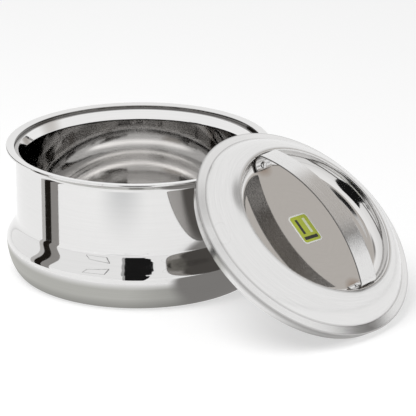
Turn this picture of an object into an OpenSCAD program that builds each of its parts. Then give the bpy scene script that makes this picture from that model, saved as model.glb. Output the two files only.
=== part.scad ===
// Insulated steel casserole for flat breads: a double-walled pot and a loose, double-walled lid
// that leans against the pot's lip. Millimetres, +Z up, origin at the centre of the pot's base.

/* [Bowl] */
// Inner radius of the bowl
bowl_r = 103.7; // [90:0.1:120]
// Radius of the bowl's bottom corner
bowl_corner_r = 24; // [16:1:34]
// Height of the bowl's floor above the table
bowl_floor_z = 8; // [7:0.5:14]
// Width of the cone between the bowl's wall and its flange
cone_w = 3.5; // [3:0.1:4]
// Height of that cone
cone_h = 8.2; // [6:0.2:10]

/* [Pot] */
// Height of the pot from the table to the top of its lip
pot_h = 117; // [90:0.5:150]
// Thickness of the double wall at the straight neck
wall_w = 6; // [5.5:0.1:8]
// Reach of the belly beyond the neck
belly_reach = 9.3; // [5:0.1:16]
// Height of the widest part of the belly
belly_z = 30.5; // [26:0.5:40]
// Height of the shoulder, from the widest part of the belly up to the neck
shoulder_h = 20.5; // [14:0.1:28]
// How far the flat foot lies inside the neck
foot_inset = 3.9; // [2:0.1:6]
// Fullness of the belly under its widest part, 2 is an ellipse
belly_fullness = 1.76; // [1.5:0.02:2.2]

/* [Lip and collar] */
// Reach of the flared lip beyond the neck
lip_reach = 8.3; // [7.5:0.1:12]
// Thickness of the folded lip at its outer edge
lip_t = 2.2; // [2.2:0.1:3]
// Rounding of the lip's outer edge
lip_round = 1; // [0.6:0.1:1.1]
// Drop of the lip's top face from its outer edge to its inner edge
lip_fall = 1.1; // [0.6:0.1:1.6]
// Drop of the lip's underside from its outer edge to the neck
lip_under_fall = 2.4; // [1.5:0.1:4]
// Radius of the cove under the lip
cove_r = 7; // [4:0.5:8]
// Step from the neck out to the inner edge of the lip's top face
lip_step = 0.8; // [0.6:0.1:1]
// Depth of the bowl's flange below the top of the lip
flange_depth = 3.8; // [3.4:0.1:4.4]

/* [Base] */
// Width of the foot round the base plate
foot_edge_w = 8.8; // [6:0.2:14]
// Distance of the stiffening bead from the base plate's edge
bead_inset = 31; // [20:1:40]
// Width of that bead
bead_w = 8; // [5:0.5:12]
// Height of that bead
bead_h = 0.5; // [0.3:0.1:1]
// Radius of the foam filling hole in the base plate
fill_hole_r = 6; // [4:0.5:8]
// Distance of that hole from the centre of the base
fill_hole_off = 35; // [20:1:40]

/* [Lid] */
// Gap between the bowl's wall and the lower edge of the lid's skirt
skirt_gap = 1; // [0.6:0.1:2]
// Flare of the skirt, from its lower edge to its top
skirt_flare = 3.7; // [2:0.1:4.5]
// Height of the skirt
skirt_h = 10.2; // [8:0.2:12]
// Width of the ledge between the skirt and the dome
ledge_w = 8.2; // [5:0.2:14]
// Rise of that ledge
ledge_rise = 2; // [1:0.1:3]
// Width of the dome, from the ledge to the rim
dome_w = 23.6; // [16:0.2:32]
// Rise of the dome, from the ledge to the rim
dome_rise = 18; // [14:0.2:24]
// Slope of the dome where it reaches the rim
dome_end_slope = 16; // [10:1:20]
// Rounding of the rim
rim_round = 1.6; // [1.2:0.1:2.2]
// Depth of the dish below the rim
dish_depth = 12.7; // [11:0.1:14]
// Radius of the dish's corner
dish_corner_r = 11; // [9:0.5:11]
// Drop of the liner's rim below the top of the skirt
liner_drop = 4.2; // [3:0.1:6]

/* [Lid on the table] */
// Tilt of the leaning lid from level
lean_tilt = 40.1; // [36:0.1:46]
// Direction in which the lid leans, seen from above
lean_azimuth = -38.9; // [-90:0.1:0]

/* [Handle] */
// Width of the strap
strap_w = 21.2; // [16:0.2:24]
// Thickness of the strap
strap_t = 1.2; // [1:0.1:1.6]
// Length of the straight part of each leg, above the dish's corner
strap_leg_h = 1.7; // [0.5:0.1:6]
// Rise of the crown above the legs
strap_rise = 23.8; // [14:0.2:34]
// Radius of the bend between the arch and each leg
strap_bend_r = 4.5; // [3:0.5:7]
// How far each foot follows the dish's corner, in degrees below the leg
strap_foot_angle = 80; // [72:1:84]
// Place of the rivet on that foot, in degrees below the leg
rivet_angle = 58; // [50:1:62]
// Radius of the rivet's shank
rivet_r = 2; // [1.5:0.1:2.4]
// Radius of the rivet's head
rivet_head_r = 3; // [2.8:0.1:3.4]

/* [Label] */
// Length of the label, along the strap
label_l = 29; // [20:0.5:36]
// Width of the label
label_w = 23.5; // [16:0.5:28]
// Radius of the label's corners
label_corner_r = 4; // [1:0.5:6]
// Thickness of the label
label_t = 0.2; // [0.1:0.05:0.4]
// Sideways place of the label on the dish's floor
label_y = -4.3; // [-12:0.1:12]
// Turn of the label on the dish's floor
label_turn = -4.5; // [-45:0.5:45]

/* [Sheet and fits] */
// Thickness of the steel sheet
sheet_t = 0.6; // [0.5:0.1:1]
// Gap between pieces that are set into each other
fit_gap = 0.3; // [0.2:0.05:0.4]
// Gap between the rivet's shank and its holes
rivet_gap = 0.1; // [0.05:0.05:0.2]

/* [Hidden] */
$fn = 180;

steel = [0.82, 0.82, 0.83];
satin_steel = [0.88, 0.87, 0.86];
foam = [0.93, 0.86, 0.62];

// Steps of a long curve, of a small bend and of a corner up to tight_r.
curve_n = 16;
bend_n = 8;
corner_n = 6;
tight_r = 5;
round_fn = 48;
half = 0.5;
cut_over = 1;

// ---- plane curves: lists of [radius, height] ----
function unit(v) = v / norm(v);
function polar(r, a) = r * [cos(a), sin(a)];
function arc(c, r, a0, a1, n) = [for (i = [0:n]) c + polar(r, a0 + (a1 - a0) * i / n)];
function reversed(p) = [for (i = [len(p) - 1:-1:0]) p[i]];
function turn_between(a0, a1) = a1 - a0 > 180 ? a1 - a0 - 360 : a1 - a0 < -180 ? a1 - a0 + 360 : a1 - a0;

// The corner at b, between a and c, rounded to radius r.
function corner(a, b, c, r) =
    let (u = unit(a - b), w = unit(c - b), h = acos(u * w) / 2,
         p = b + u * r / tan(h), q = b + w * r / tan(h), o = b + unit(u + w) * r / sin(h),
         a0 = atan2(p.y - o.y, p.x - o.x), a1 = atan2(q.y - o.y, q.x - o.x))
    arc(o, r, a0, a0 + turn_between(a0, a1), r > tight_r ? curve_n : corner_n);

// A path of [radius, height, rounding] corners; a rounding of 0 keeps the corner sharp.
function flat2(p) = [p.x, p.y];
function rounded(path) = [
    for (i = [0:len(path) - 1])
        let (b = flat2(path[i]))
        each (path[i].z == 0 ? [b]
            : corner(flat2(path[i - 1]), b, flat2(path[i + 1]), path[i].z))];

// The same curve moved by t to the left of its direction of travel.
function shifted(p, t) = [
    for (i = [0:len(p) - 1])
        let (d = unit(p[min(i + 1, len(p) - 1)] - p[max(i - 1, 0)]))
        p[i] + t * [-d.y, d.x]];

// The curve without its first point, for joining it to a curve that ends there.
function after_first(p) = [for (i = [1:len(p) - 1]) p[i]];

// ---- pot ----
neck_r = bowl_r + wall_w;
neck_in_r = neck_r - sheet_t;
belly_r = neck_r + belly_reach;
shoulder_z = belly_z + shoulder_h;
foot_r = neck_r - foot_inset;
base_plate_r = foot_r - foot_edge_w;
lip_r = neck_r + lip_reach;
lip_inner_r = neck_r + lip_step;
lip_under_z = pot_h - lip_t;
flange_z = pot_h - flange_depth;
ledge_z = flange_z - sheet_t - fit_gap;

function below_belly(z) =
    foot_r + (belly_r - foot_r) * pow(1 - pow(1 - z / belly_z, belly_fullness), 1 / belly_fullness);
function above_belly(z) =
    neck_r + (belly_r - neck_r) * half * (1 + cos(180 * (z - belly_z) / (shoulder_z - belly_z)));

// Outer face of the shell, from the foot's inner edge up to the neck. The steps crowd near the foot.
foot_in_r = base_plate_r + fit_gap;
belly_line = concat(
    [[foot_in_r, 0]],
    [for (i = [0:curve_n]) let (z = belly_z * pow(i / curve_n, 2)) [below_belly(z), z]],
    [for (i = [1:curve_n]) let (z = belly_z + (shoulder_z - belly_z) * i / curve_n) [above_belly(z), z]]);
lip_line = rounded([
    [neck_r, shoulder_z + fit_gap, 0],
    [neck_r, lip_under_z - lip_under_fall, cove_r],
    [lip_r, lip_under_z, lip_round],
    [lip_r, pot_h, lip_round],
    [lip_inner_r, pot_h - lip_fall, half],
    [lip_inner_r, ledge_z, 0],
    [neck_in_r, ledge_z - (lip_inner_r - neck_in_r), 0],
    [neck_in_r, shoulder_z + fit_gap, 0]]);
belly_inner = shifted(belly_line, sheet_t);
shell_outline = concat(belly_line, lip_line, reversed(belly_inner));

module outer_shell() {
    color(steel) rotate_extrude() polygon(shell_outline);
}

// Inner face of the bowl, from its flange's outer edge down to the centre of its floor.
flange_round = 1;
cone_foot_round = 2;
cone_foot_z = flange_z - cone_h;
bowl_line = rounded([
    [lip_inner_r - fit_gap, flange_z, 0],
    [bowl_r + cone_w, flange_z, flange_round],
    [bowl_r, cone_foot_z, cone_foot_round],
    [bowl_r, bowl_floor_z, bowl_corner_r],
    [0, bowl_floor_z, 0]]);
bowl_back = shifted(bowl_line, sheet_t);

module inner_bowl() {
    color(steel) rotate_extrude() polygon(concat(bowl_line, reversed(bowl_back)));
}

// The base plate's faces, seen from the centre outwards, with its bead.
bead_out_r = base_plate_r - bead_inset;
bead_in_r = bead_out_r - bead_w;
bead_ramp = 2 * bead_h;
function plate_line(z) = [
    [0, z], [bead_in_r, z], [bead_in_r + bead_ramp, z + bead_h],
    [bead_out_r - bead_ramp, z + bead_h], [bead_out_r, z], [base_plate_r, z]];
module at_fill_hole() {
    translate([fill_hole_off, 0, 0]) children();
}

module base_plate() {
    color(steel) difference() {
        rotate_extrude() polygon(concat(plate_line(0), reversed(plate_line(sheet_t))));
        at_fill_hole() translate([0, 0, -cut_over])
            cylinder(r = fill_hole_r, h = sheet_t + 2 * cut_over);
    }
}

// A push-in plug: its face lies just above the table, and its collar holds it inside the plate.
plug_lift = 0.1;
plug_collar_w = 1.2;
plug_collar_h = 1;
plug_top_z = sheet_t + fit_gap + plug_collar_h;
module base_fill_plug() {
    color([0.2, 0.2, 0.21]) at_fill_hole() {
        translate([0, 0, plug_lift]) cylinder(r = fill_hole_r - rivet_gap, h = plug_top_z - plug_lift);
        translate([0, 0, sheet_t + rivet_gap])
            cylinder(r = fill_hole_r + plug_collar_w, h = plug_top_z - sheet_t - rivet_gap);
    }
}

// Foam fills the space between the shell and the bowl, from the base plate up to just below the cone.
foam_drop = 2;
foam_floor_z = sheet_t + fit_gap;
foam_top_z = cone_foot_z - foam_drop;
foam_out = concat(
    [for (p = shifted(belly_line, sheet_t + fit_gap)) if (p.y > foam_floor_z + fit_gap) p],
    [[neck_in_r - fit_gap, foam_top_z]]);
foam_in = [for (p = shifted(bowl_line, sheet_t + fit_gap)) if (p.y < foam_top_z) p];
module body_insulation() {
    color(foam) difference() {
        rotate_extrude() polygon(concat(
            plate_line(foam_floor_z),
            [[foot_r, foam_floor_z]],
            foam_out,
            [[bowl_r + sheet_t + fit_gap, foam_top_z]],
            foam_in));
        at_fill_hole() cylinder(r = fill_hole_r + plug_collar_w + fit_gap, h = plug_top_z + fit_gap);
    }
}

// ---- lid, drawn level with its skirt's lower edge at height 0 ----
skirt_low_r = bowl_r - skirt_gap;
skirt_top_r = skirt_low_r + skirt_flare;
crease = [skirt_top_r - ledge_w, skirt_h + ledge_rise];
rim_r = crease.x - dome_w;
rim_h = crease.y + dome_rise;
dish_floor_h = rim_h - dish_depth;
liner_h = fit_gap;
lid_edge_z = skirt_low_r * sin(lean_tilt);
// The liner's underside stays a fit gap away from the rounded edge of the lip.
lean_dist = lip_r - lip_round
    + ((pot_h - lip_round - lid_edge_z) * cos(lean_tilt) + lip_round + fit_gap - liner_h) / sin(lean_tilt);
module leaning() {
    rotate([0, 0, lean_azimuth]) translate([lean_dist, 0, lid_edge_z]) rotate([0, lean_tilt, 0]) children();
}

fold_c = [rim_r, rim_h - rim_round];
fold_start = fold_c + polar(rim_round, 90 - dome_end_slope);
dome_u = polar(1, 90 - dome_end_slope);
dome_r = -pow(norm(crease - fold_start), 2) / (2 * (crease - fold_start) * dome_u);
dome_c = fold_start - dome_r * dome_u;
dome_start_a = atan2(crease.y - dome_c.y, crease.x - dome_c.x);
dish_r = rim_r - rim_round;
dish_corner_c = [dish_r - dish_corner_r, dish_floor_h + dish_corner_r];

// Outer face of the cover, from the skirt's lower edge to the centre of the dish.
skirt_round = 1;
skirt_line = rounded([
    [skirt_low_r, 0, 0],
    [skirt_top_r, skirt_h, skirt_round],
    [crease.x, crease.y, 0]]);
dome_line = arc(dome_c, dome_r, dome_start_a, 90 - dome_end_slope, curve_n);
fold_line = arc(fold_c, rim_round, 90 - dome_end_slope, 180, bend_n);
dish_line = concat(arc(dish_corner_c, dish_corner_r, 0, -90, curve_n), [[0, dish_floor_h]]);
cover_line = concat(skirt_line, after_first(dome_line), after_first(fold_line), dish_line);
cover_back = shifted(cover_line, sheet_t);

module rivet_axis(side) {
    translate([side * dish_corner_c.x, 0, dish_corner_c.y]) rotate([0, side * (90 + rivet_angle), 0])
        children();
}
module rivet_holes(r, from, to) {
    for (side = [-1, 1])
        rivet_axis(side) translate([0, 0, from]) cylinder(r = r, h = to - from, $fn = round_fn);
}

module lid_cover() {
    color(satin_steel) leaning() difference() {
        rotate_extrude() polygon(concat(cover_line, reversed(cover_back)));
        rivet_holes(rivet_r + rivet_gap, dish_corner_r - cut_over, dish_corner_r + sheet_t + cut_over);
    }
}

// The liner: a shallow pan whose rim stands inside the skirt.
liner_round = 1.2;
liner_rim_h = skirt_h - liner_drop;
skirt_slope = atan(skirt_flare / skirt_h);
function skirt_in_r(h) = skirt_low_r + skirt_flare * h / skirt_h - sheet_t / cos(skirt_slope) - fit_gap;
liner_line = rounded([
    [0, liner_h, 0],
    [skirt_in_r(liner_h), liner_h, liner_round],
    [skirt_in_r(liner_rim_h), liner_rim_h, 0]]);
module lid_liner() {
    color(steel) leaning() rotate_extrude()
        polygon(concat(liner_line, reversed(shifted(liner_line, sheet_t))));
}

// Foam fills the lid between its cover and its liner, and keeps away from the folded edges.
foam_margin = 2;
foam_top_h = skirt_h - sheet_t - fit_gap - foam_margin * half;
foam_dome_r = crease.x - foam_margin;
liner_top = shifted(liner_line, sheet_t + fit_gap);
cover_under = [for (p = shifted(cover_line, sheet_t + fit_gap)) if (p.x < foam_dome_r) p];
tail_h = 1;
tail_from = dish_corner_r + sheet_t + rivet_gap;
module lid_insulation() {
    color(foam) leaning() difference() {
        rotate_extrude() polygon(concat(
            [for (p = liner_top) [max(p.x, 0), p.y]],
            [[skirt_in_r(skirt_h) - foam_margin, foam_top_h], [foam_dome_r, foam_top_h + ledge_rise]],
            [for (p = cover_under) [max(p.x, 0), p.y]]));
        rivet_holes(rivet_head_r + fit_gap, dish_corner_r, tail_from + tail_h + fit_gap);
    }
}

// ---- handle ----
// The feet stand off the dish by the fit gap and by the sagitta that the flat strap needs there.
strap_sagitta = pow(strap_w, 2) / (8 * dish_r);
foot_arc_r = dish_corner_r - fit_gap - strap_sagitta - strap_t * half;
leg_x = dish_corner_c.x + foot_arc_r;
bend_c = [leg_x - strap_bend_r, dish_corner_c.y + strap_leg_h];
// The long arch meets both bends without a kink and passes through the crown.
arch_r = (pow(bend_c.x, 2) + pow(strap_rise, 2) - pow(strap_bend_r, 2)) / (2 * (strap_rise - strap_bend_r));
arch_c = [0, bend_c.y + strap_rise - arch_r];
bend_a = atan2(bend_c.y - arch_c.y, bend_c.x);
// One face of the strap, o away from its middle, from the foot at +X over the crown.
function strap_half(o) = concat(
    arc(dish_corner_c, foot_arc_r + o, -strap_foot_angle, 0, curve_n),
    arc(bend_c, strap_bend_r + o, 0, bend_a, bend_n),
    arc(arch_c, arch_r + o, bend_a, 90, 2 * curve_n));
function mirrored(p) = [for (q = p) [-q.x, q.y]];
function strap_face(o) = concat(strap_half(o), mirrored(reversed(strap_half(o))));

module handle_strap() {
    color(satin_steel) leaning() difference() {
        rotate([90, 0, 0]) linear_extrude(height = strap_w, center = true)
            polygon(concat(strap_face(strap_t * half), reversed(strap_face(-strap_t * half))));
        rivet_holes(rivet_r + rivet_gap, 0, dish_corner_r - half);
    }
}

// Each rivet has a low domed head on the strap and a flat tail behind the cover.
head_seat = foot_arc_r - strap_t * half - pow(rivet_head_r, 2) / (2 * foot_arc_r) - rivet_gap;
head_h = 1.2;
rivet_line = concat(
    [[0, head_seat - head_h]],
    [for (a = [15:15:75]) [rivet_head_r * sin(a), head_seat - head_h * cos(a)]],
    [[rivet_head_r, head_seat], [rivet_r, head_seat], [rivet_r, tail_from],
     [rivet_head_r, tail_from], [rivet_head_r, tail_from + tail_h], [0, tail_from + tail_h]]);
module handle_rivets() {
    color(steel) leaning()
        for (side = [-1, 1]) rivet_axis(side) rotate_extrude($fn = round_fn) polygon(rivet_line);
}

// ---- label ----
module label_sticker() {
    label_x = label_l * half;
    label_side = label_w * half;
    corners = [for (s = [[1, 1], [-1, 1], [-1, -1], [1, -1]]) [s.x * label_x, s.y * label_side]];
    outline = [for (i = [0:3])
        each corner(corners[(i + 3) % 4], corners[i], corners[(i + 1) % 4], label_corner_r)];
    color([0.62, 0.72, 0.16]) leaning() translate([0, label_y, dish_floor_h]) rotate([0, 0, label_turn])
        linear_extrude(height = label_t) polygon(outline);
}

outer_shell();
inner_bowl();
body_insulation();
base_plate();
base_fill_plug();
lid_cover();
lid_liner();
lid_insulation();
handle_strap();
handle_rivets();
label_sticker();
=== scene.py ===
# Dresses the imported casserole: a double-walled steel pot and the loose lid that leans on its lip.
# Profiles are (radius, height) in millimetres, as in the part's source.
# Blender's objects, the cards and the camera are in metres.
import math

import bmesh
import bpy
from mathutils import Matrix, Vector


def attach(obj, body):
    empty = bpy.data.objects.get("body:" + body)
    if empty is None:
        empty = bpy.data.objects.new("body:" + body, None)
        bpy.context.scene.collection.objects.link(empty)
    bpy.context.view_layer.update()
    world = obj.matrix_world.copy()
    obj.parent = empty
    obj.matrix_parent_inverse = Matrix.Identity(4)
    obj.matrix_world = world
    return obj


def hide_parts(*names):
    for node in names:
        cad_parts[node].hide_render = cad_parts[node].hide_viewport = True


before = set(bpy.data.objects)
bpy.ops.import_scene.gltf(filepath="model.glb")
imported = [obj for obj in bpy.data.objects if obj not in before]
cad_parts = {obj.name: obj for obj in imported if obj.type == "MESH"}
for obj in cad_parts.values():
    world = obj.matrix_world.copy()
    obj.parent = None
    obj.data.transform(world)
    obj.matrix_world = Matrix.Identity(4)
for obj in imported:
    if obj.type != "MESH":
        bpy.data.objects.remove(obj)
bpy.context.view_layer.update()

MM = 0.001

# ---- sizes of the pot ----
POT_H = 117.0
BOWL_R, BOWL_CORNER_R, BOWL_FLOOR_Z = 103.7, 24.0, 8.0
CONE_W, CONE_H, CONE_FOOT_ROUND, FLANGE_ROUND = 3.5, 8.2, 2.0, 1.0
WALL_W = 6.0
BELLY_REACH, BELLY_Z, SHOULDER_H, BELLY_FULLNESS = 9.3, 30.5, 20.5, 1.76
FOOT_INSET, FOOT_EDGE_W = 3.9, 8.8
LIP_REACH, LIP_T, LIP_ROUND = 8.3, 2.2, 1.0
LIP_FALL, LIP_UNDER_FALL, LIP_INNER_ROUND = 1.1, 2.4, 0.5
COVE_R, LIP_STEP, FLANGE_DEPTH = 7.0, 0.8, 3.8
SHEET_T, FIT_GAP = 0.6, 0.3

NECK_R = BOWL_R + WALL_W
NECK_IN_R = NECK_R - SHEET_T
BELLY_R = NECK_R + BELLY_REACH
SHOULDER_Z = BELLY_Z + SHOULDER_H
FOOT_R = NECK_R - FOOT_INSET
BASE_PLATE_R = FOOT_R - FOOT_EDGE_W
LIP_R = NECK_R + LIP_REACH
LIP_INNER_R = NECK_R + LIP_STEP
LIP_UNDER_Z = POT_H - LIP_T
FLANGE_Z = POT_H - FLANGE_DEPTH
LEDGE_Z = FLANGE_Z - SHEET_T - FIT_GAP
CONE_FOOT_Z = FLANGE_Z - CONE_H

# ---- sizes of the lid ----
SKIRT_GAP, SKIRT_FLARE, SKIRT_H, SKIRT_ROUND = 1.0, 3.7, 10.2, 1.0
LEDGE_W, LEDGE_RISE = 8.2, 2.0
DOME_W, DOME_RISE, DOME_END_SLOPE = 23.6, 18.0, 16.0
RIM_ROUND, DISH_DEPTH, DISH_CORNER_R = 1.6, 12.7, 11.0
LINER_DROP, LINER_ROUND = 4.2, 1.2
LEAN_TILT, LEAN_AZIMUTH = 40.1, -38.9

LINER_H = FIT_GAP
SKIRT_LOW_R = BOWL_R - SKIRT_GAP
SKIRT_TOP_R = SKIRT_LOW_R + SKIRT_FLARE
CREASE_R = SKIRT_TOP_R - LEDGE_W
CREASE_H = SKIRT_H + LEDGE_RISE
RIM_R = CREASE_R - DOME_W
RIM_H = CREASE_H + DOME_RISE
DISH_R = RIM_R - RIM_ROUND
DISH_FLOOR_H = RIM_H - DISH_DEPTH

# ---- sizes of the handle, the rivets and the label ----
STRAP_W, STRAP_T, STRAP_EDGE_R = 21.2, 1.2, 0.4
STRAP_LEG_H, STRAP_RISE, STRAP_BEND_R, STRAP_FOOT_ANGLE = 1.7, 23.8, 4.5, 80.0
RIVET_ANGLE, RIVET_R, RIVET_GAP = 58.0, 2.0, 0.1
RIVET_HEAD_R, RIVET_HEAD_H, RIVET_TAIL_H = 3.0, 1.2, 1.0
LABEL_L, LABEL_W, LABEL_CORNER_R, LABEL_T = 29.0, 23.5, 4.0, 0.2
LABEL_Y, LABEL_TURN, LABEL_EDGE_W = -4.3, -4.5, 1.3

FOOT_ARC_R = DISH_CORNER_R - FIT_GAP - STRAP_W ** 2 / (8 * DISH_R) - STRAP_T / 2

# ---- how fine the meshes are ----
SEGMENTS, RIVET_SEGMENTS = 180, 48
CORNER_STEPS, WIDE_CORNER_STEPS, WIDE_CORNER_R = 8, 28, 5.0
BELLY_LOW_STEPS, BELLY_HIGH_STEPS = 44, 40
DOME_STEPS, FOLD_STEPS, DISH_STEPS = 48, 20, 36
FOOT_STEPS, BEND_STEPS, ARCH_STEPS = 24, 16, 48
STRAP_EDGE_STEPS, RIVET_HEAD_STEPS = 4, 12
STRAP_DIVISIONS = (0.9, 0.6, 0.2)
NEAR_STEP, FAR_STEP = 0.3, 5.0
SHARP = math.radians(34)
MERGE_DIST, ON_AXIS = 1e-7, 1e-6

# ---- where the lid leans: its skirt stands on the floor and its liner rests on the pot's lip ----
TILT = math.radians(LEAN_TILT)
EDGE_Z = SKIRT_LOW_R * math.sin(TILT)
LEAN_REACH = (POT_H - LIP_ROUND - EDGE_Z) * math.cos(TILT) + LIP_ROUND + FIT_GAP - LINER_H
LEAN_DIST = LIP_R - LIP_ROUND + LEAN_REACH / math.sin(TILT)
LEANING = (
    Matrix.Rotation(math.radians(LEAN_AZIMUTH), 4, "Z")
    @ Matrix.Translation(Vector((LEAN_DIST, 0, EDGE_Z)) * MM)
    @ Matrix.Rotation(TILT, 4, "Y")
)
UPRIGHT = Matrix.Identity(4)


# ---- plane curves ----
def vec(r, h):
    return Vector((r, h))


def polar(r, degrees):
    a = math.radians(degrees)
    return vec(r * math.cos(a), r * math.sin(a))


def arc(centre, r, a0, a1, steps):
    return [centre + polar(r, a0 + (a1 - a0) * i / steps) for i in range(steps + 1)]


def corner(a, b, c, r, steps):
    """The corner at b, between a and c, rounded to radius r."""
    u, w = (a - b).normalized(), (c - b).normalized()
    h = u.angle(w) / 2
    p, q = b + u * r / math.tan(h), b + w * r / math.tan(h)
    o = b + (u + w).normalized() * r / math.sin(h)
    a0 = math.degrees(math.atan2(p.y - o.y, p.x - o.x))
    turn = math.degrees(math.atan2(q.y - o.y, q.x - o.x)) - a0
    turn -= 360 * round(turn / 360)
    return arc(o, r, a0, a0 + turn, steps)


def rounded(path):
    """A path of (radius, height, rounding); a rounding of 0 keeps the corner sharp."""
    pts = [vec(p[0], p[1]) for p in path]
    out = []
    for i, (_, _, rounding) in enumerate(path):
        if rounding == 0:
            out.append(pts[i])
        else:
            steps = WIDE_CORNER_STEPS if rounding > WIDE_CORNER_R else CORNER_STEPS
            out += corner(pts[i - 1], pts[i], pts[i + 1], rounding, steps)
    return out


def refined(line):
    """Adds points to the straights, closer near their ends, so that smooth shading stays true."""
    out = []
    for a, b in zip(line, line[1:]):
        out.append(a)
        length = (b - a).length
        marks, d, step = [], NEAR_STEP, NEAR_STEP
        while d < length / 2:
            marks.append(d / length)
            step = min(step * 2, FAR_STEP)
            d += step
        out += [a.lerp(b, m) for m in marks] + [b.lerp(a, m) for m in reversed(marks)]
    return out + [line[-1]]


def across(line, i):
    """The direction to the left of the line's travel at its point i."""
    last = len(line) - 1
    d = (line[min(i + 1, last)] - line[max(i - 1, 0)]).normalized()
    return vec(-d.y, d.x)


def back_face(line):
    """The other face of a sheet, to the left of the line."""
    return [p + SHEET_T * across(line, i) for i, p in enumerate(line)]


def sheet_outline(line):
    """A closed outline of a sheet whose one face is the line."""
    back = [vec(max(p.x, 0.0), p.y) for p in back_face(line)]
    return line + back[::-1]


# ---- meshes ----
def finish_mesh(name, bm, place, body, material, node):
    bmesh.ops.remove_doubles(bm, verts=bm.verts, dist=MERGE_DIST)
    bmesh.ops.recalc_face_normals(bm, faces=bm.faces)
    for face in bm.faces:
        face.smooth = True
    for edge in bm.edges:
        edge.smooth = len(edge.link_faces) == 2 and edge.calc_face_angle(0) < SHARP
    bm.transform(place)
    mesh = bpy.data.meshes.new(name)
    bm.to_mesh(mesh)
    bm.free()
    mesh.materials.append(material)
    obj = bpy.data.objects.new(name, mesh)
    bpy.context.scene.collection.objects.link(obj)
    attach(obj, body)
    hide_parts(node)


def lathed(outline, segments=SEGMENTS):
    """Turns a closed outline round the Z axis; points on the axis become single points."""
    bm = bmesh.new()
    rings = []
    for p in outline:
        if p.x < ON_AXIS:
            rings.append([bm.verts.new(Vector((0, 0, p.y * MM)))])
            continue
        ring = []
        for i in range(segments):
            a = 2 * math.pi * i / segments
            ring.append(bm.verts.new(Vector((p.x * math.cos(a), p.x * math.sin(a), p.y)) * MM))
        rings.append(ring)
    for lower, upper in zip(rings, rings[1:] + rings[:1]):
        for i in range(segments):
            j = (i + 1) % segments
            corners = ((lower, i), (lower, j), (upper, j), (upper, i))
            quad = list(dict.fromkeys(ring[k % len(ring)] for ring, k in corners))
            if len(quad) > 2:
                bm.faces.new(quad)
    return bm


def stacked(rings):
    """Joins a stack of equal rings of points and closes its two ends."""
    bm = bmesh.new()
    rings = [[bm.verts.new(p) for p in ring] for ring in rings]
    count = len(rings[0])
    for lower, upper in zip(rings, rings[1:]):
        for i in range(count):
            j = (i + 1) % count
            bm.faces.new([lower[i], lower[j], upper[j], upper[i]])
    bm.faces.new(rings[0])
    bm.faces.new(rings[-1])
    return bm


def strap_section():
    """The strap's cross section as (across, thickness): two flat faces and four rounded edges."""
    wide, thick = STRAP_W / 2, STRAP_T / 2
    edges = []
    for q, (sy, st) in enumerate([(1, 1), (-1, 1), (-1, -1), (1, -1)]):
        for k in range(STRAP_EDGE_STEPS + 1):
            a = math.radians(90 * q + 90 * k / STRAP_EDGE_STEPS)
            edges.append((sy * (wide - STRAP_EDGE_R) + STRAP_EDGE_R * math.cos(a),
                          st * (thick - STRAP_EDGE_R) + STRAP_EDGE_R * math.sin(a)))
    inner = [wide * f for f in STRAP_DIVISIONS]
    inner += [-y for y in reversed(inner)]
    n = STRAP_EDGE_STEPS + 1
    top = [(y, thick) for y in inner]
    bottom = [(-y, -thick) for y in inner]
    return edges[:n] + top + edges[n:3 * n] + bottom + edges[3 * n:]


# ---- node helpers ----
NOISE_SPREAD = 0.2


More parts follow.
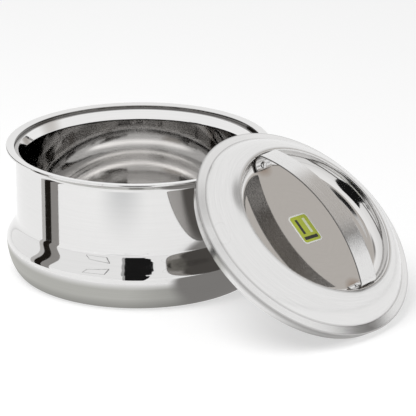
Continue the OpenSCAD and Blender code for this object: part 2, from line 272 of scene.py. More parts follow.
class Net:
    """A short way to write a material's nodes."""

    def __init__(self, name, place=None):
        self.place = place
        self.mat = bpy.data.materials.new(name)
        self.mat.use_nodes = True
        self.tree = self.mat.node_tree
        self.shader = self.tree.nodes["Principled BSDF"]

    def node(self, kind, ins=None, **props):
        n = self.tree.nodes.new("ShaderNode" + kind)
        for k, v in props.items():
            setattr(n, k, v)
        for k, v in (ins or {}).items():
            self.put(n, k, v)
        return n

    def put(self, n, key, value):
        if isinstance(value, bpy.types.NodeSocket):
            self.tree.links.new(value, n.inputs[key])
        else:
            n.inputs[key].default_value = value

    def set(self, **ins):
        for k, v in ins.items():
            self.put(self.shader, k.replace("_", " "), v)

    def math(self, op, a, b=0.0):
        return self.node("Math", {0: a, 1: b}, operation=op).outputs[0]

    def range(self, value, lo, hi, to_lo=0.0, to_hi=1.0, **props):
        ins = {"Value": value, "From Min": lo, "From Max": hi, "To Min": to_lo, "To Max": to_hi}
        return self.node("MapRange", ins, **props).outputs[0]

    def range_mm(self, value, lo, hi, to_lo=0.0, to_hi=1.0):
        """The same, with the limits of the value in millimetres."""
        return self.range(value, lo * MM, hi * MM, to_lo, to_hi)

    def spread(self, noise, to_lo=0.0, to_hi=1.0):
        """The same, with the limits between which nearly all of a noise lies."""
        return self.range(noise, 0.5 - NOISE_SPREAD, 0.5 + NOISE_SPREAD, to_lo, to_hi)

    def at(self):
        """The point on the piece, in metres, in the frame that the piece was drawn in."""
        at = self.node("TexCoord").outputs["Object"]
        if self.place is None:
            return at
        where, turn = self.place.to_translation(), self.place.to_euler()
        ins = {"Vector": at, "Location": where, "Rotation": turn}
        return self.node("Mapping", ins, vector_type="TEXTURE").outputs[0]

    def axes(self):
        return self.node("SeparateXYZ", {0: self.at()}).outputs

    def vector(self, x, y, z=0.0):
        return self.node("CombineXYZ", {"X": x, "Y": y, "Z": z}).outputs[0]

    def length(self, vector):
        return self.node("VectorMath", {0: vector}, operation="LENGTH").outputs["Value"]

    def distance(self, a, b):
        return self.node("VectorMath", {0: a, 1: b}, operation="DISTANCE").outputs["Value"]

    def noise(self, vector, scale, detail, rough, w=None):
        """Noise with so many bumps to a metre; with w it varies along a fourth axis too."""
        ins = {"Vector": vector, "Scale": scale, "Detail": detail, "Roughness": rough}
        if w is None:
            return self.node("TexNoise", ins).outputs["Fac"]
        ins["W"] = w
        return self.node("TexNoise", ins, noise_dimensions="4D").outputs["Fac"]

    def mix(self, fac, a, b):
        n = self.node("Mix", data_type="RGBA")
        self.put(n, 0, fac)
        self.put(n, 6, a)
        self.put(n, 7, b)
        return n.outputs[2]

    def blend(self, fac, a, b):
        """The same for plain values."""
        return self.node("Mix", {0: fac, 2: a, 3: b}).outputs[0]

    def bump(self, height, distance, normal=None):
        ins = {"Height": height, "Strength": 1.0, "Distance": distance}
        if normal is not None:
            ins["Normal"] = normal
        return self.node("Bump", ins).outputs[0]


def grey(v, warm=0.0):
    return (v * (1 + warm), v, v * (1 - warm), 1.0)


def streaked(net, lines, tones, warm=0.0, spread=NOISE_SPREAD):
    """A grey that goes from one tone to the other with the lines."""
    fac = net.range(lines, 0.5 - spread, 0.5 + spread)
    return net.mix(fac, grey(tones[0], warm), grey(tones[1], warm))


# ---- steel turned or polished round an axis ----
STREAKS_PER_METRE, FINE_LINES_PER_STREAK = 900.0, 3.1
STREAK_CHANGE, FINE_CHANGE = 2.5, 7.0
STREAK_SPREAD, STREAK_TONES, STREAK_DEPTH = 0.15, (0.985, 1.01), 1.5
# Scale, detail and roughness of a noise.
LINES, SMUDGES, WAVES = (1.0, 3.0, 0.6), (22.0, 4.0, 0.6), (16.0, 1.0, 0.4)
SMUDGE_LIMITS, SMUDGE_ROUGH = (0.35, 0.7), (0.8, 1.35)
# A dark steel grey, used as painted shade in the lip's groove and in lines on the lid.
PAINTED_SHADE_STEEL = grey(0.30, 0.02)


class Turned:
    """A material for a turned piece, with its radius r, height z and streaks as sockets."""

    def __init__(self, name, line_depth, wave_depth, place=None, per_metre=STREAKS_PER_METRE):
        net = self.net = Net(name, place)
        xyz = net.axes()
        flat = net.vector(xyz[0], xyz[1])
        self.r, self.z = net.length(flat), xyz[2]
        way = net.node("VectorMath", {0: flat}, operation="NORMALIZE").outputs[0]
        self.way = net.node("SeparateXYZ", {0: way}).outputs
        self.streaks = self.lines(per_metre, STREAK_CHANGE)
        fine = self.lines(per_metre * FINE_LINES_PER_STREAK, FINE_CHANGE)
        normal = net.bump(fine, line_depth)
        normal = net.bump(self.streaks, line_depth * STREAK_DEPTH, normal)
        normal = net.bump(net.noise(net.at(), *WAVES), wave_depth, normal)
        net.set(Metallic=1.0, Normal=normal)

    def lines(self, per_metre, change):
        """Lines that run round the axis. change is how quickly they change along their run."""
        net = self.net
        across_x, across_z = (net.math("MULTIPLY", v, per_metre) for v in (self.r, self.z))
        along_x, along_y = (net.math("MULTIPLY", v, change) for v in (self.way[0], self.way[1]))
        return net.noise(net.vector(across_x, across_z, along_x), *LINES, along_y)

    def smudged(self, to_lo, to_hi):
        """Smudges, as a value between two limits."""
        net = self.net
        return net.range(net.noise(net.at(), *SMUDGES), *SMUDGE_LIMITS, to_lo, to_hi)


def plain_steel(name, tone, warm, rough, streak_rough, line_depth, wave_depth, place=None):
    """One tone of turned steel, with smudges and slightly darker streaks."""
    piece = Turned(name, line_depth, wave_depth, place)
    net = piece.net
    smudged = piece.smudged(*(rough * k for k in SMUDGE_ROUGH))
    streaks = net.spread(piece.streaks, -streak_rough, streak_rough)
    tones = [tone * k for k in STREAK_TONES]
    colour = streaked(net, piece.streaks, tones, warm, STREAK_SPREAD)
    net.set(Base_Color=colour, Roughness=net.math("ADD", smudged, streaks))
    return piece


def polished_steel(name):
    return plain_steel(name, tone=0.74, warm=0.006, rough=0.045, streak_rough=0.006,
                       line_depth=2e-8, wave_depth=5e-6)


def shell_steel():
    """The outer shell: mirror polished, with painted shade on the inside of its lip, in the groove
    above the bowl's flange.
    """
    piece = polished_steel("shell_steel")
    net = piece.net
    bright = net.shader.inputs["Base Color"].links[0].from_socket
    # Painted shade: the inside of the lip, in the groove above the bowl's flange, takes a dark
    # steel grey.
    near_bowl = net.range_mm(piece.r, LIP_INNER_R + 0.1, LIP_INNER_R + 0.4, 1.0, 0.0)
    above_flange = net.range_mm(piece.z, FLANGE_Z - 1.5, FLANGE_Z - 1.0)
    inner = net.math("MULTIPLY", near_bowl, above_flange)
    net.set(Base_Color=net.mix(inner, bright, PAINTED_SHADE_STEEL))
    return net.mat


# The heights between which the bowl's tone and roughness change from its floor's to its wall's; the
# tone goes from painted light on the floor to painted shade on the wall.
BOWL_FADE, BOWL_ROUGH, BOWL_SMUDGE = (26.0, 62.0), (0.045, 0.05), (-0.012, 0.02)


def drawn_steel():
    """The bowl: painted light on its floor and cone, painted shade on its wall and flange, and a
    line of painted shade under the cone.
    """
    piece = Turned("bowl_steel", line_depth=2e-8, wave_depth=3e-6)
    net, z, streaks = piece.net, piece.z, piece.streaks
    up = net.range_mm(z, *BOWL_FADE)
    floor = streaked(net, streaks, (0.86, 0.90), 0.012, STREAK_SPREAD)
    wall = streaked(net, streaks, (0.36, 0.40), 0.015, STREAK_SPREAD)
    cone = streaked(net, streaks, (0.79, 0.82), 0.006, STREAK_SPREAD)
    tone = net.mix(up, floor, wall)
    # The height at which each band starts, the height at which it is full, and its colour: painted
    # shade under the cone, painted light on the cone, painted shade on the flange.
    bands = (
        (CONE_FOOT_Z - 1.6, CONE_FOOT_Z - 1.2, grey(0.10, 0.03)),
        (CONE_FOOT_Z - 0.4, CONE_FOOT_Z, cone),
        (FLANGE_Z - 0.5, FLANGE_Z - 0.1, grey(0.38, 0.02)),
    )
    for start, full, band in bands:
        tone = net.mix(net.range_mm(z, start, full), tone, band)
    rough = net.math("ADD", net.blend(up, *BOWL_ROUGH), piece.smudged(*BOWL_SMUDGE))
    net.set(Base_Color=tone, Roughness=rough)
    return net.mat


SATIN_EDGE, SATIN_SMUDGES = 1.5, (25.0, 4.0, 0.6)
# Lines of painted shade on the lid, at its crease, at the top of its skirt and beside the rim's
# fold: their radius, their half width and how strong they are.
LID_SHADE_LINES = ((CREASE_R, 0.9, 0.45), (SKIRT_TOP_R, 2.0, 0.8), (RIM_R + 0.9, 1.3, 0.35))
LID_SHADE_LINE_CORE = 0.2
WELD_R, WELD_H = 68.0, 19.5
TINT, TINT_STRENGTH, TINT_CORE, TINT_REACH = (0.36, 0.24, 0.15, 1), 0.75, 4.5, 13.0


def lid_steel():
    """The cover: a satin dome round a polished dish, tinted brown by heat at the strap's feet, with
    painted shade on the dish's wall and in lines at its folds.
    """
    piece = Turned("lid_cover_steel", line_depth=5e-8, wave_depth=5e-6, place=LEANING,
                   per_metre=1400.0)
    net = piece.net
    lines = piece.lines(1600.0, 3.0)
    smudge = net.noise(net.at(), *SATIN_SMUDGES)
    satin = net.range_mm(piece.r, DISH_R - SATIN_EDGE, DISH_R + SATIN_EDGE)
    satin_rough = net.math("ADD", net.spread(lines, 0.15, 0.21), net.spread(smudge, -0.03, 0.04))
    dish_rough = net.spread(smudge, 0.03, 0.06)
    dish_floor = streaked(net, lines, (0.74, 0.78), 0.012)
    # Painted shade: the dish's wall is a darker copy of the steel of its floor.
    shaded_dish_wall = streaked(net, lines, (0.55, 0.60), 0.012)
    dome = streaked(net, lines, (0.72, 0.78), 0.006)
    up_wall = net.range_mm(piece.z, DISH_FLOOR_H + 1.0, DISH_FLOOR_H + 7.0)
    tone = net.mix(satin, net.mix(up_wall, dish_floor, shaded_dish_wall), dome)
    # Painted shade: dark lines at the lid's folds.
    for r, half, strength in LID_SHADE_LINES:
        off = net.math("ABSOLUTE", net.math("SUBTRACT", piece.r, r * MM))
        line = net.range_mm(off, LID_SHADE_LINE_CORE * half, half, strength, 0.0)
        tone = net.mix(line, tone, PAINTED_SHADE_STEEL)
    for side in (-1, 1):
        away = net.distance(net.at(), Vector((side * WELD_R, 0, WELD_H)) * MM)
        spot = net.range_mm(away, TINT_CORE, TINT_REACH, TINT_STRENGTH, 0.0)
        uneven = net.math("MULTIPLY", spot, net.range(smudge, 0.3, 0.6, 0.6, 1.0))
        tone = net.mix(uneven, tone, TINT)
    net.set(Base_Color=tone, Roughness=net.blend(satin, dish_rough, satin_rough))
    return net.mat


# ---- the other materials ----
# How many scratches there are to a metre, along the strap and across it.
SCRATCHES, SCRATCH_LINES, SCRATCH_DEPTH = (30.0, 2600.0), (1.0, 4.0, 0.65), 4e-6
UNDERSIDE_TURN, CUT_EDGE_START, CUT_EDGE_FULL = 0.2, 0.5, 0.2


def brushed_steel():
    """The strap: scratches along its length; a bright top, and painted shade on its lower face and
    on its cut edges.
    """
    net = Net("strap_brushed_steel", LEANING)
    x, y = net.axes()[0:2]
    stretched = [net.math("MULTIPLY", v, k) for v, k in zip((x, y), SCRATCHES)]
    lines = net.noise(net.vector(*stretched), *SCRATCH_LINES)
    smudge = net.noise(net.at(), 60.0, 3.0, 0.6)
    outward = net.node("TexCoord").outputs["Normal"]
    up = LEANING.to_3x3() @ Vector((0, 0, 1))
    facing = net.node("VectorMath", {0: outward, 1: up}, operation="DOT_PRODUCT").outputs["Value"]
    lower_face_shade = net.range(facing, -UNDERSIDE_TURN, UNDERSIDE_TURN, 1.0, 0.0)
    off, half = net.math("ABSOLUTE", y), STRAP_W / 2
    cut_edge_shade = net.range_mm(off, half - CUT_EDGE_START, half - CUT_EDGE_FULL)
    # Painted shade: the strap's lower face and its cut edges are darker copies of its steel.
    colour = net.mix(lower_face_shade, streaked(net, lines, (0.70, 0.80), 0.006), grey(0.30, 0.03))
    colour = net.mix(cut_edge_shade, colour, grey(0.16, 0.03))
    rough = net.math("ADD", net.spread(lines, 0.16, 0.30), net.spread(smudge, -0.04, 0.05))
    normal = net.bump(lines, SCRATCH_DEPTH)
    net.set(Base_Color=colour, Metallic=1.0, Roughness=rough, Normal=normal)
    return net.mat


FOAM_COLOURS, FOAM_CELLS = ((0.78, 0.62, 0.30, 1), (0.88, 0.76, 0.46, 1)), 900.0


def foam_material():
    net = Net("rigid_foam")
    ins = {"Vector": net.at(), "Scale": FOAM_CELLS}
    cells = net.node("TexVoronoi", ins).outputs["Distance"]
    patch = net.noise(net.at(), 40.0, 4.0, 0.6)
    colour = net.mix(net.spread(patch), *FOAM_COLOURS)
    rough = net.range(cells, 0, 0.6, 0.95, 0.75)
    net.set(Base_Color=colour, Roughness=rough, Normal=net.bump(cells, 2e-4))
    return net.mat


def plug_material():
    net = Net("plug_plastic")
    grain = net.noise(net.at(), 2500.0, 3.0, 0.6)
    patch = net.noise(net.at(), 120.0, 2.0, 0.5)
    rough = net.spread(grain, 0.42, 0.60)
    colour = streaked(net, patch, (0.030, 0.045))
    net.set(Base_Color=colour, Roughness=rough, Normal=net.bump(grain, 3e-5))
    return net.mat


LABEL_PAPER = (0.90, 0.91, 0.88, 1)
LABEL_GREENS = (0.46, 0.54, 0.045, 1), (0.52, 0.59, 0.06, 1)
# The label's block and bars: the middle and the half size of each, and its ink.
LABEL_PRINT = (
    ((9.2, 0.0), (1.6, 8.2), grey(0.02)),
    ((-2.5, 4.6), (7.5, 1.5), (0.80, 0.86, 0.62, 1)),
    ((-2.5, -4.6), (7.5, 1.5), grey(0.03)),
)
PRINT_BLUR, FIELD_BLUR = 0.12, 0.15


def label_place():
    on_dish = Vector((0, LABEL_Y, DISH_FLOOR_H)) * MM
    return LEANING @ Matrix.Translation(on_dish) @ Matrix.Rotation(math.radians(LABEL_TURN), 4, "Z")


def box_field(net, xy, middle, half):
    """1 inside a rectangle."""
    sides = []
    for v, m, h in zip(xy, middle, half):
        off = net.math("ABSOLUTE", net.math("SUBTRACT", v, m * MM))
        sides.append(net.range_mm(off, h - PRINT_BLUR, h + PRINT_BLUR, 1.0, 0.0))
    return net.math("MULTIPLY", *sides)


def rounded_field(net, xy, half, r):
    """1 inside a rectangle with rounded corners, about the middle."""
    over = []
    for v, h in zip(xy, half):
        off = net.math("SUBTRACT", net.math("ABSOLUTE", v), (h - r) * MM)
        over.append(net.math("MAXIMUM", off, 0.0))
    return net.range_mm(net.length(net.vector(*over)), r - FIELD_BLUR, r + FIELD_BLUR, 1.0, 0.0)


def label_material():
    """A plain green sticker with a pale edge, a dark block and two bars."""
    net = Net("label_film", label_place())
    xy = net.axes()[0:2]
    paper = net.noise(net.at(), 1800.0, 3.0, 0.6)
    half = (LABEL_L / 2 - LABEL_EDGE_W, LABEL_W / 2 - LABEL_EDGE_W)
    inside = rounded_field(net, xy, half, LABEL_CORNER_R - LABEL_EDGE_W)
    colour = net.mix(inside, LABEL_PAPER, net.mix(net.spread(paper), *LABEL_GREENS))
    for middle, half, ink in LABEL_PRINT:
        colour = net.mix(box_field(net, xy, middle, half), colour, ink)
    rough = net.spread(paper, 0.28, 0.42)
    net.set(Base_Color=colour, Roughness=rough, Normal=net.bump(paper, 1.2e-5))
    return net.mat


mirror_steel = polished_steel("mirror_steel").net.mat
polished_shell = shell_steel()
bowl_steel = drawn_steel()
# The liner's dark, warm tone is painted shade: it stands for the shade under the leaning lid.
liner_steel = plain_steel("liner_steel", tone=0.30, warm=0.05, rough=0.10, streak_rough=0.02,
                          line_depth=1e-7, wave_depth=1e-5, place=LEANING).net.mat
satin_dome = lid_steel()
strap_steel = brushed_steel()
foam = foam_material()
plug_plastic = plug_material()
label_film = label_material()


# ---- pot ----
def below_belly(z):
    power = BELLY_FULLNESS
    return FOOT_R + (BELLY_R - FOOT_R) * (1 - (1 - z / BELLY_Z) ** power) ** (1 / power)


def above_belly(z):
    return NECK_R + (BELLY_R - NECK_R) * 0.5 * (1 + math.cos(math.pi * (z - BELLY_Z) / SHOULDER_H))


def belly_line():
    line = [vec(BASE_PLATE_R + FIT_GAP, 0)]
    for i in range(BELLY_LOW_STEPS + 1):
        z = BELLY_Z * (i / BELLY_LOW_STEPS) ** 2
        line.append(vec(below_belly(z), z))
    for i in range(1, BELLY_HIGH_STEPS + 1):
        z = BELLY_Z + SHOULDER_H * i / BELLY_HIGH_STEPS
        line.append(vec(above_belly(z), z))
    return line


def lip_line():
    """The neck and the folded lip, a solid double sheet; it starts and ends on the shoulder."""
    low = SHOULDER_Z + FIT_GAP
    return rounded([
        (NECK_R, low, 0),
        (NECK_R, LIP_UNDER_Z - LIP_UNDER_FALL, COVE_R),
        (LIP_R, LIP_UNDER_Z, LIP_ROUND),
        (LIP_R, POT_H, LIP_ROUND),
        (LIP_INNER_R, POT_H - LIP_FALL, LIP_INNER_ROUND),
        (LIP_INNER_R, LEDGE_Z, 0),
        (NECK_IN_R, LEDGE_Z - (LIP_INNER_R - NECK_IN_R), 0),
        (NECK_IN_R, low, 0),
    ])


def make_shell():
    belly = belly_line()
    bm = lathed(refined(belly + lip_line()) + back_face(belly)[::-1])
    finish_mesh("pot_shell", bm, UPRIGHT, "pot", polished_shell, "outer_shell")


def make_bowl():
    line = rounded([
        (LIP_INNER_R - FIT_GAP, FLANGE_Z, 0),
        (BOWL_R + CONE_W, FLANGE_Z, FLANGE_ROUND),
        (BOWL_R, CONE_FOOT_Z, CONE_FOOT_ROUND),
        (BOWL_R, BOWL_FLOOR_Z, BOWL_CORNER_R),
        (0, BOWL_FLOOR_Z, 0),
    ])
    bm = lathed(sheet_outline(refined(line)))
    finish_mesh("pot_bowl", bm, UPRIGHT, "pot", bowl_steel, "inner_bowl")


# ---- lid ----
DISH_CORNER_C = vec(DISH_R - DISH_CORNER_R, DISH_FLOOR_H + DISH_CORNER_R)


def cover_line():
    """The cover from the foot of its skirt to the middle of its dish."""
    crease = vec(CREASE_R, CREASE_H)
    # The dome is one arc from the crease that meets the rim's fold at a set slope.
    top = 90 - DOME_END_SLOPE
    fold_c = vec(RIM_R, RIM_H - RIM_ROUND)
    fold_start = fold_c + polar(RIM_ROUND, top)
    u = polar(1, top)
    span = crease - fold_start
    dome_r = -span.length_squared / (2 * span.dot(u))
    dome_c = fold_start - dome_r * u
    start = math.degrees(math.atan2(crease.y - dome_c.y, crease.x - dome_c.x))
    skirt = rounded([
        (SKIRT_LOW_R, 0, 0),
        (SKIRT_TOP_R, SKIRT_H, SKIRT_ROUND),
        (CREASE_R, CREASE_H, 0),
    ])
    dome = arc(dome_c, dome_r, start, top, DOME_STEPS)
    fold = arc(fold_c, RIM_ROUND, top, 180, FOLD_STEPS)
    dish = arc(DISH_CORNER_C, DISH_CORNER_R, 0, -90, DISH_STEPS) + [vec(0, DISH_FLOOR_H)]
    return skirt + dome[1:] + fold[1:] + dish


def make_cover():
    bm = lathed(sheet_outline(refined(cover_line())))
    finish_mesh("lid_cover_sheet", bm, LEANING, "lid", satin_dome, "lid_cover")


def make_liner():
    slope = math.atan(SKIRT_FLARE / SKIRT_H)

    def inside(h):
        """The radius at which something fits inside the skirt, at height h."""
        return SKIRT_LOW_R + SKIRT_FLARE * h / SKIRT_H - SHEET_T / math.cos(slope) - FIT_GAP

    rim = SKIRT_H - LINER_DROP
    line = rounded([
        (0, LINER_H, 0),
        (inside(LINER_H), LINER_H, LINER_ROUND),
        (inside(rim), rim, 0),
    ])
    bm = lathed(sheet_outline(refined(line)))
    finish_mesh("lid_liner_pan", bm, LEANING, "lid", liner_steel, "lid_liner")


# ---- handle and label ----
def strap_path():
    """The strap's middle line: foot along the dish's corner, leg, bend, arch, and back down."""
    bend_c = vec(DISH_CORNER_C.x + FOOT_ARC_R - STRAP_BEND_R, DISH_CORNER_C.y + STRAP_LEG_H)
    spans = bend_c.x ** 2 + STRAP_RISE ** 2 - STRAP_BEND_R ** 2
    arch_r = spans / (2 * (STRAP_RISE - STRAP_BEND_R))
    arch_c = vec(0, bend_c.y + STRAP_RISE - arch_r)
    bend_a = math.degrees(math.atan2(bend_c.y - arch_c.y, bend_c.x))
    foot = arc(DISH_CORNER_C, FOOT_ARC_R, -STRAP_FOOT_ANGLE, 0, FOOT_STEPS)
    bend = arc(bend_c, STRAP_BEND_R, 0, bend_a, BEND_STEPS)
    arch = arc(arch_c, arch_r, bend_a, 90, ARCH_STEPS)
    half = foot + bend + arch[1:]
    return half + [vec(-p.x, p.y) for p in reversed(half[:-1])]


def make_strap():
    path, section, rings = strap_path(), strap_section(), []
    for i, p in enumerate(path):
        n = across(path, i)
        points = [(p + n * t, y) for y, t in section]
        rings.append([Vector((q.x, y, q.y)) * MM for q, y in points])
    bm = stacked(rings)
    finish_mesh("handle_strap_band", bm, LEANING, "lid", strap_steel, "handle_strap")


def rivet_outline():
    """A rivet, outward from its domed head inside the strap to its flat tail behind the cover."""
    seat = FOOT_ARC_R - STRAP_T / 2 - RIVET_HEAD_R ** 2 / (2 * FOOT_ARC_R) - RIVET_GAP
    tail = DISH_CORNER_R + SHEET_T + RIVET_GAP
    dome = [vec(0, seat - RIVET_HEAD_H)]
    for i in range(1, RIVET_HEAD_STEPS):
        a = math.radians(90 * i / RIVET_HEAD_STEPS)
        dome.append(vec(RIVET_HEAD_R * math.sin(a), seat - RIVET_HEAD_H * math.cos(a)))
    rest = [(RIVET_HEAD_R, seat), (RIVET_R, seat), (RIVET_R, tail), (RIVET_HEAD_R, tail),
            (RIVET_HEAD_R, tail + RIVET_TAIL_H), (0, tail + RIVET_TAIL_H)]
    return dome + [vec(r, h) for r, h in rest]


def make_rivets():
    for side, name in ((1, "rivet_lower"), (-1, "rivet_upper")):
        place = LEANING @ (
            Matrix.Translation(Vector((side * DISH_CORNER_C.x, 0, DISH_CORNER_C.y)) * MM)
            @ Matrix.Rotation(math.radians(side * (90 + RIVET_ANGLE)), 4, "Y")
        )
        bm = lathed(rivet_outline(), RIVET_SEGMENTS)
        finish_mesh(name, bm, place, "lid", mirror_steel, "handle_rivets")


def make_label():
    x, y = LABEL_L / 2, LABEL_W / 2
    corners = [vec(x, y), vec(-x, y), vec(-x, -y), vec(x, -y)]
    outline = []
    for a, b, c in zip(corners[-1:] + corners, corners, corners[1:] + corners[:1]):
        outline += corner(a, b, c, LABEL_CORNER_R, CORNER_STEPS)
    rings = []
    # How far each ring draws in and how high it is, in thicknesses: the top edge is chamfered.
    for shrink, h in ((0, 0), (0, 0.75), (0.25, 1.0)):
        points = [p - p.normalized() * shrink * LABEL_T for p in outline]
        rings.append([Vector((q.x, q.y, h * LABEL_T)) * MM for q in points])
    bm = stacked(rings)
    finish_mesh("lid_label", bm, label_place(), "lid", label_film, "label_sticker")


def dress_cad_nodes():
    """The nodes whose shape is right keep it and get a finish."""
    finishes = {
        "body_insulation": foam,
        "lid_insulation": foam,
        "base_plate": mirror_steel,
        "base_fill_plug": plug_plastic,
    }
    for name, material in finishes.items():
        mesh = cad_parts[name].data
        mesh.materials.clear()
        mesh.materials.append(material)


make_shell()
make_bowl()
make_cover()
make_liner()
make_strap()
make_rivets()
make_label()
dress_cad_nodes()


# ---- stage helpers ----
def card_net(name):
    """An empty material, with its output, for a card or the floor."""
    net = Net(name)
    net.tree.nodes.remove(net.shader)
    return net, net.tree.nodes["Material Output"]


def partly(net, shown, shader):
    """The shader where shown is 1; a ray goes through where it is 0."""
    clear = net.node("BsdfTransparent").outputs[0]
    return net.node("MixShader", {0: shown, 1: clear, 2: shader}).outputs[0]


def glow(net, colour, shown=None):
    """Gives off a colour, everywhere or where shown is 1."""
    emit = net.node("Emission", {"Color": colour}).outputs[0]
    return emit if shown is None else partly(net, shown, emit)


def from_front(net):
    """1 where a ray meets the side that the card's normal points to."""
    return net.math("SUBTRACT", 1.0, net.node("NewGeometry").outputs["Backfacing"])


def stage_mesh(name, points, faces, net, out, shader):
    mesh = bpy.data.meshes.new(name)
    mesh.from_pydata([tuple(p) for p in points], [], faces)
    obj = bpy.data.objects.new(name, mesh)
    bpy.context.scene.collection.objects.link(obj)
    mesh.materials.append(net.mat)
    net.put(out, "Surface", shader)
    return obj


def make_card(name, points, faces, net, out, shader):
    """A card that only reflections see."""
    obj = stage_mesh(name, points, faces, net, out, shader)
    for ray in ("camera", "diffuse", "shadow", "transmission", "volume_scatter"):
        setattr(obj, "visible_" + ray, False)
    return obj


def flat_card(name, points, tone, warm=0.0, one_sided=False, faces=None):
    net, out = card_net(name)
    shader = glow(net, grey(tone, warm), from_front(net) if one_sided else None)
    make_card(name, points, faces or [tuple(range(len(points)))], net, out, shader)


def soft_card(name, centre, facing, half, core, tone, warm=0.0):
    """An oval card that fades out from its core, a share of its half sizes, to its edge."""
    net, out = card_net(name)
    away = net.length(net.at())
    fade = net.range(away, core, 1.0, 1.0, 0.0, interpolation_type="SMOOTHSTEP")
    square = [(-1, -1, 0), (1, -1, 0), (1, 1, 0), (-1, 1, 0)]
    obj = make_card(name, square, [(0, 1, 2, 3)], net, out, glow(net, grey(tone, warm), fade))
    obj.location = centre
    obj.rotation_euler = Vector(facing).to_track_quat("Z", "Y").to_euler()
    obj.scale = (half[0], half[1], 1.0)


def strip(count):
    """The faces between neighbouring pairs of points."""
    return [(2 * i, 2 * i + 2, 2 * i + 3, 2 * i + 1) for i in range(count - 1)]


def toward(azimuth, elevation):
    """A direction; azimuth 0 is towards the camera and 90 is to the right."""
    a, e = math.radians(azimuth), math.radians(elevation)
    return Vector((math.sin(a) * math.cos(e), -math.cos(a) * math.cos(e), math.sin(e)))


def sky_card(name, posts, tone, warm):
    """A card far off: posts of (azimuth, low, high) elevations, seen from the middle of the pot."""
    points = []
    for azimuth, low, high in posts:
        points += [Vector(POT_MIDDLE) + FAR * toward(azimuth, e) for e in (low, high)]
    flat_card(name, points, tone, warm, faces=strip(len(posts)))


def sky_patch(name, distance, azimuth, elevation, spread, core, tone, warm):
    """A soft card seen from the dish; spread is its half width and half height, in degrees."""
    way = toward(azimuth, elevation)
    half = [distance * math.tan(math.radians(a)) for a in spread]
    soft_card(name, Vector(DISH_MIDDLE) + distance * way, -way, half, core, tone, warm)


def floor_patch(name, x, y, lift, half, core, tone, warm):
    """A soft card that lies on the floor."""
    soft_card(name, (x, y, lift), (0, 0, 1), half, core, tone, warm)


def wall_card(name, a, b, low, high, tone, warm=0.0):
    """An upright card between two places on the floor."""
    flat_card(name, [(*a, low), (*b, low), (*b, high), (*a, high)], tone, warm)


def front_card(name, y, outline, tone, one_sided=False):
    """An upright card that lies across the camera's view, with its outline as (x, z)."""
    flat_card(name, [(x, y, z) for x, z in outline], tone, one_sided=one_sided)


# ---- what the steel mirrors, in metres ----
POT_MIDDLE = (0.0, 0.0, 0.08)
DISH_MIDDLE = (0.14, -0.11, 0.10)
LID_MIDDLE = LEANING.to_translation()
FAR = 3.5
FRONT_Y, SIDE_Y, NEAR_Y = -0.22, -0.20, -0.135
STAND_H = 0.20
CARD_LIFT = 0.0004
BLACK, EDGE_TONE = 0.012, 0.45

# The black shape with a pale left edge that the belly mirrors. Its low part is close to the belly,
# where the neck can't mirror it.
CAMERA_OUTLINE = [(-0.030, 0.072), (0.020, 0.072), (0.020, 0.182), (-0.042, 0.182),
                  (-0.037, 0.155), (-0.034, 0.092)]
CAMERA_LOW_OUTLINE = [(-0.0132, 0.0245), (0.0070, 0.0245), (0.0085, 0.0262), (0.0127, 0.0340),
                      (0.0150, 0.0415), (-0.0132, 0.0415)]
CAMERA_SIDE_OUTLINE = [(0.014, 0.079), (0.022, 0.079), (0.031, 0.088), (0.0325, 0.112),
                       (0.039, 0.128), (0.039, 0.157), (0.014, 0.157)]
EDGE_OUTLINE = [(-0.039, 0.072), (-0.030, 0.072), (-0.034, 0.092), (-0.037, 0.155),
                (-0.042, 0.182), (-0.051, 0.182), (-0.045, 0.155), (-0.042, 0.092)]
LOW_EDGE_OUTLINE = [(-0.0160, 0.0245), (-0.0132, 0.0245), (-0.0132, 0.0415), (-0.0160, 0.0415)]
# A thin dark frame, with its middle and its half sizes as (x, z).
BOX_MIDDLE, BOX_OUTER, BOX_INNER = (-0.131, 0.128), (0.045, 0.040), (0.0418, 0.0368)

# Dark bands low in the sky, which the bowl's walls mirror, as (azimuth, low, high).
LEFT_POSTS = [(-155, 5, 30), (-135, 13, 37), (-120, 20, 41), (-105, 30, 42), (-92, 36, 43)]
RIGHT_POSTS = [(93, 20, 58), (108, 20, 58)]

# The black patch on the right wall of the dish.
DISH_BLACK_Y = -0.12
DISH_BLACK_OUTLINE = [(0.155, 0.112), (0.175, 0.130), (0.205, 0.172), (0.222, 0.170),
                      (0.205, 0.145), (0.190, 0.125), (0.170, 0.100), (0.150, 0.084),
                      (0.130, 0.098)]

# The ring of floor round the foot. Its tone goes by the distance from the lid's middle, times a
# share that goes by the distance from the pot's: (near, far, value at near, value at far). It
# gives way to the floor's own tone at the ring's outer edge.
FOOT_RING, FOOT_RING_STEP = (0.1035, 0.162), 6
SHADE_FROM_LID, SHADE_FROM_POT = (0.0, 0.15, 0.15, 0.57), (0.108, 0.121, 0.62, 1.0)
SHADE_END, SHADE_BLUE, FLOOR_TONE = (0.140, 0.160), 0.95, 0.97


def make_foot_shade():
    """What the belly sees of the floor round the foot: darker under the pot and towards the lid."""
    net, out = card_net("foot_shade")
    x, y = net.axes()[0:2]
    flat = net.vector(x, y)
    r = net.length(flat)
    away = net.distance(flat, Vector((LID_MIDDLE.x, LID_MIDDLE.y, 0)))
    by_lid, by_pot = net.range(away, *SHADE_FROM_LID), net.range(r, *SHADE_FROM_POT)
    tone = net.math("MULTIPLY", by_lid, by_pot)
    blue = net.math("MULTIPLY", tone, SHADE_BLUE)
    shade = net.node("CombineColor", {0: tone, 1: tone, 2: blue}).outputs[0]
    colour = net.mix(net.range(r, *SHADE_END), shade, grey(FLOOR_TONE))
    angles = [math.radians(d) for d in range(0, 361, FOOT_RING_STEP)]
    points = [(s * math.cos(a), s * math.sin(a), CARD_LIFT) for a in angles for s in FOOT_RING]
    make_card("foot_shade", points, strip(len(angles)), net, out, glow(net, colour))


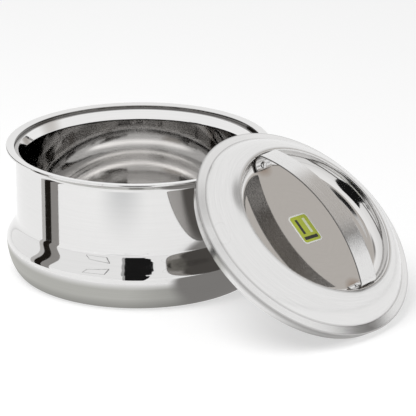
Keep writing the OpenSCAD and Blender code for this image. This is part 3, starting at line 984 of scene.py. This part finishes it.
def make_box_outline():
    """A thin dark frame, like a light box's outline, which the belly mirrors."""
    points = []
    for sx, sz in ((-1, -1), (1, -1), (1, 1), (-1, 1), (-1, -1)):
        for hx, hz in (BOX_OUTER, BOX_INNER):
            points.append((BOX_MIDDLE[0] + sx * hx, FRONT_Y, BOX_MIDDLE[1] + sz * hz))
    flat_card("box_outline", points, 0.07, 0.02, faces=strip(5))


def make_cards():
    # The bands on the left of the neck and belly.
    wall_card("stand_edge", (-0.2123, -0.0450), (-0.2108, -0.0598), 0.0, STAND_H, 0.55, 0.02)
    wall_card("stand_black", (-0.2108, -0.0598), (-0.2061, -0.0834), 0.0, STAND_H, BLACK, 0.2)
    wall_card("stand_brown", (-0.2061, -0.0834), (-0.1968, -0.1108), 0.0, STAND_H, 0.30, 0.04)
    # The black shape in the middle of the belly.
    front_card("camera_black", FRONT_Y, CAMERA_OUTLINE, BLACK)
    front_card("camera_black_low", NEAR_Y, CAMERA_LOW_OUTLINE, BLACK)
    front_card("camera_edge", FRONT_Y, EDGE_OUTLINE, EDGE_TONE)
    front_card("camera_edge_low", NEAR_Y, LOW_EDGE_OUTLINE, EDGE_TONE)
    # Keeps the black shape off the lid's left edge.
    soft_card("edge_white", (0.0627, -0.185, 0.109), (0.55, 0.40, -0.72), (0.015, 0.015), 0.7, 1.0)
    front_card("camera_black_side", SIDE_Y, CAMERA_SIDE_OUTLINE, BLACK)
    make_box_outline()
    sky_card("far_left", LEFT_POSTS, 0.06, 0.1)
    sky_card("far_right", RIGHT_POSTS, 0.06, 0.1)
    # The dish's floor, and the darker bands on its left wall and on the lid's left edge.
    sky_patch("warm_grey", 0.6, 124, 38, (26, 30), 0.45, 0.52, 0.055)
    sky_patch("high_dark", FAR, 128, 71, (13, 13), 0.2, 0.25, 0.03)
    # The bright arcs in the bowl.
    soft_card("soft_box", (0.0, -0.040, 0.130), (0, 0, -1), (0.050, 0.042), 0.3, 2.4)
    front_card("dish_black", DISH_BLACK_Y, DISH_BLACK_OUTLINE, 0.01, one_sided=True)
    wall_card("dish_corner_black", (0.40, -0.02), (0.40, -0.08), 0.115, 0.15, 0.02)
    # Painted shade on the floor under the lid, in front of the pot and round its foot, on cards
    # that only reflections see.
    x, y = LID_MIDDLE.x - 0.007, LID_MIDDLE.y + 0.006
    floor_patch("lid_shade", x, y, 2 * CARD_LIFT, (0.10, 0.10), 0.8, 0.24, 0.03)
    floor_patch("floor_shade_patch", -0.09, -0.43, CARD_LIFT, (0.17, 0.19), 0.0, 0.78, -0.01)
    make_foot_shade()


# ---- floor, light and camera ----
FLOOR_ALBEDO, FLOOR_GLOW = 0.52, 0.55
FLOOR_HALF, FLOOR_DROP = 6.0, 0.00005
WORLD_LIGHT, WORLD_SEEN = 0.45, 1.0
KEY_AT, KEY_AIM, KEY_SIZE, KEY_POWER = (-0.5, -0.6, 1.6), (0.05, 0, 0), 1.2, 20.0
CAMERA_AT, CAMERA_TILT, CAMERA_LENS, CAMERA_SENSOR = (0.0615, -2.3544, 0.8951), 70.35, 241.44, 36
CAMERA_REACH = 30


def seen_rays(nodes, links):
    """1 for camera, glossy and transmission rays."""
    path = nodes.new("ShaderNodeLightPath")
    total = path.outputs["Is Camera Ray"]
    for word in ("Is Glossy Ray", "Is Transmission Ray"):
        add = nodes.new("ShaderNodeMath")
        add.operation = "MAXIMUM"
        links.new(total, add.inputs[0])
        links.new(path.outputs[word], add.inputs[1])
        total = add.outputs[0]
    return total


def make_floor():
    """A pale floor with a little glow of its own, which can be looked through from below."""
    net, out = card_net("floor")
    corners = [(-1, -1), (1, -1), (1, 1), (-1, 1)]
    points = [(sx * FLOOR_HALF, sy * FLOOR_HALF, -FLOOR_DROP) for sx, sy in corners]
    diffuse = net.node("BsdfDiffuse", {"Color": grey(FLOOR_ALBEDO)}).outputs[0]
    strength = net.math("MULTIPLY", seen_rays(net.tree.nodes, net.tree.links), FLOOR_GLOW)
    emit = net.node("Emission", {"Strength": strength}).outputs[0]
    lit = net.node("AddShader", {0: diffuse, 1: emit}).outputs[0]
    stage_mesh("floor", points, [(0, 1, 2, 3)], net, out, partly(net, from_front(net), lit))


def make_world():
    """A white world, dimmer as a light than it looks."""
    world = bpy.data.worlds.new("studio")
    bpy.context.scene.world = world
    world.use_nodes = True
    nodes, links = world.node_tree.nodes, world.node_tree.links
    back = nodes["Background"]
    back.inputs["Color"].default_value = (1, 1, 1, 1)
    strength = nodes.new("ShaderNodeMapRange")
    strength.inputs["To Min"].default_value = WORLD_LIGHT
    strength.inputs["To Max"].default_value = WORLD_SEEN
    links.new(seen_rays(nodes, links), strength.inputs["Value"])
    links.new(strength.outputs[0], back.inputs["Strength"])


def make_key_lamp():
    data = bpy.data.lights.new("key", "AREA")
    data.shape = "SQUARE"
    data.size = KEY_SIZE
    data.energy = KEY_POWER
    obj = bpy.data.objects.new("key", data)
    bpy.context.scene.collection.objects.link(obj)
    obj.location = KEY_AT
    obj.rotation_euler = (Vector(KEY_AIM) - Vector(KEY_AT)).to_track_quat("-Z", "Y").to_euler()
    obj.visible_glossy = False


def make_camera():
    data = bpy.data.cameras.new("camera")
    data.lens = CAMERA_LENS
    data.sensor_width = CAMERA_SENSOR
    data.clip_end = CAMERA_REACH
    obj = bpy.data.objects.new("camera", data)
    bpy.context.scene.collection.objects.link(obj)
    obj.location = CAMERA_AT
    obj.rotation_euler = (math.radians(CAMERA_TILT), 0, 0)
    bpy.context.scene.camera = obj


make_floor()
make_world()
make_cards()
make_key_lamp()
make_camera()
bpy.context.scene.view_settings.view_transform = "Standard"
